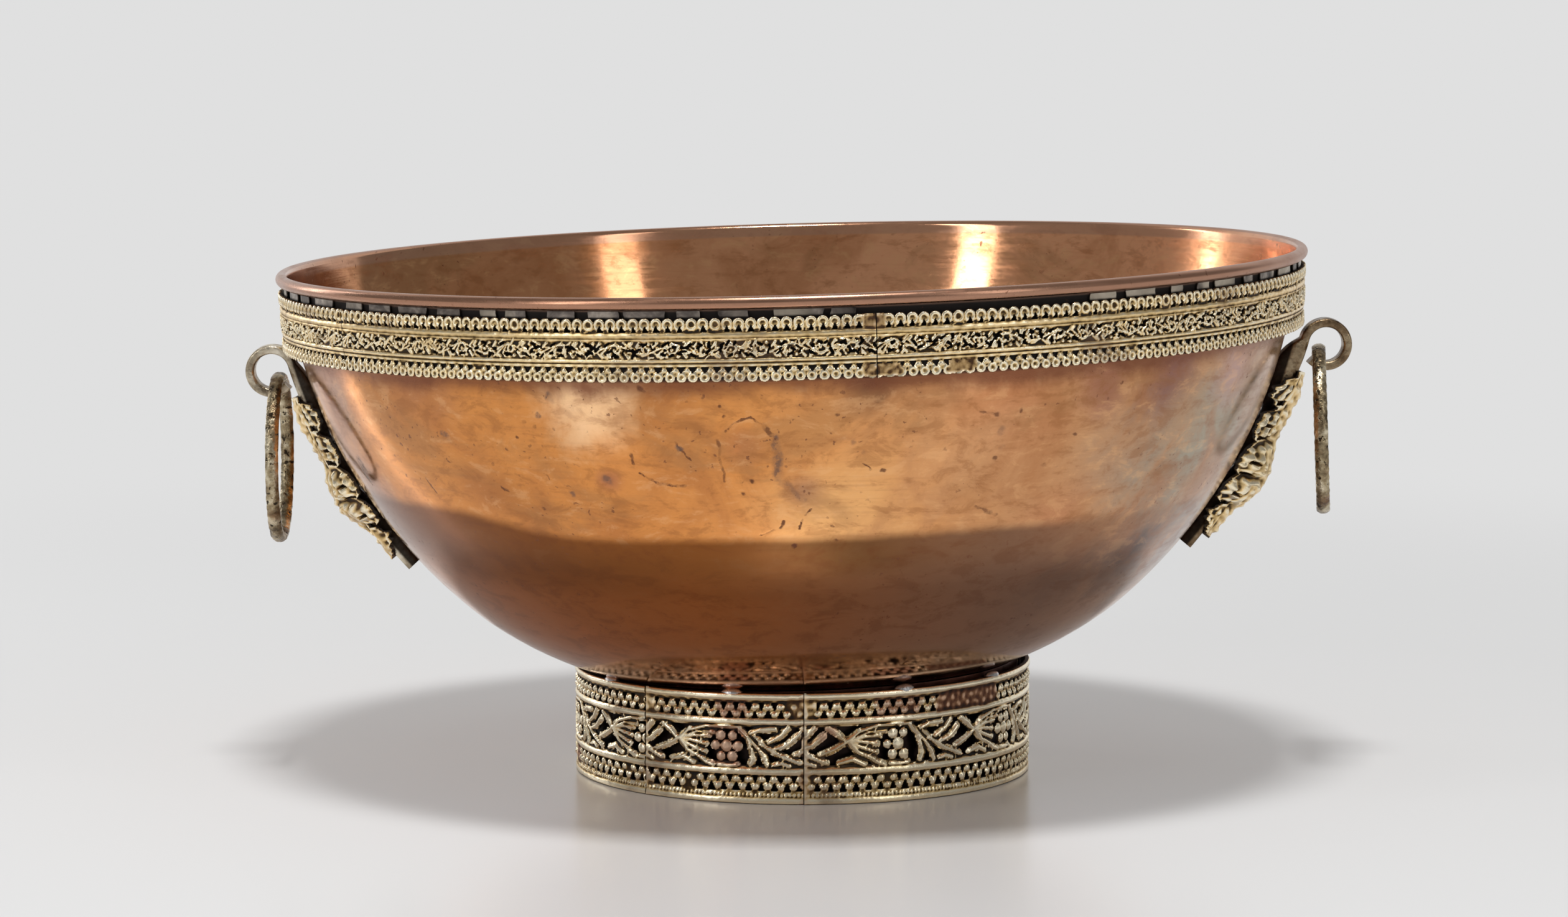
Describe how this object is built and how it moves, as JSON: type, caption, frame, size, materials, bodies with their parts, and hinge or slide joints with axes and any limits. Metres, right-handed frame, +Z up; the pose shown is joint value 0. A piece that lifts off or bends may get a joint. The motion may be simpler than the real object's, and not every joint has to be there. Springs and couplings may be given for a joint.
{
  "type": "footed metal bowl",
  "caption": "Large round copper bowl on a pierced brass foot, with a pierced brass band under its rolled rim and strap handles that each carry a loose ring.",
  "frame": {"origin": "middle of the whole object's width and depth, on the plane that the foot stands on", "axes": "+Z up, +X through the right handle, -Y towards the front that the picture shows"},
  "size_m": [0.4092, 0.38, 0.1961],
  "materials": {
    "copper": "polished copper with heat tint",
    "dark_copper": "dark unpolished copper",
    "brass": "pale pierced brass with dark recesses",
    "worn_brass": "worn brass",
    "tinned_copper": "dull grey tinned copper",
    "solder": "dull solder"
  },
  "bodies": {
    "bowl": {"bowl_shell": "copper", "rim_wire": "tinned_copper", "rim_band_1": "brass", "rim_band_2": "brass", "rim_band_3": "brass", "rim_band_4": "brass", "rim_band_5": "brass", "rim_band_6": "brass", "clip_strip_1": "tinned_copper", "clip_strip_2": "tinned_copper", "clip_strip_3": "tinned_copper", "clip_strip_4": "tinned_copper", "clip_strip_5": "tinned_copper", "clip_strip_6": "tinned_copper", "foot_sleeve": "dark_copper", "foot_panel_1": "brass", "foot_panel_2": "brass", "foot_panel_3": "brass", "foot_solder_1": "solder", "foot_solder_2": "solder", "foot_solder_3": "solder", "foot_solder_4": "solder", "foot_solder_5": "solder", "foot_solder_6": "solder", "foot_solder_7": "solder", "strap_left": "dark_copper", "strap_right": "dark_copper", "leaf_left": "brass", "leaf_right": "brass", "handle_solder_left_1": "solder", "handle_solder_left_2": "solder", "handle_solder_right_1": "solder", "handle_solder_right_2": "solder"},
    "ring_left": {"ring_left": "worn_brass"},
    "ring_right": {"ring_right": "worn_brass"}
  },
  "joints": [
    {"name": "ring_left_swing", "type": "hinge", "parent": "bowl", "child": "ring_left", "pos_m": [-0.19505, 0, 0.14822], "axis": [0, 1, 0], "range_deg": [-20, 186]},
    {"name": "ring_right_swing", "type": "hinge", "parent": "bowl", "child": "ring_right", "pos_m": [0.19504, 0, 0.15819], "axis": [0, -1, 0], "range_deg": [-20, 188]}
  ]
}
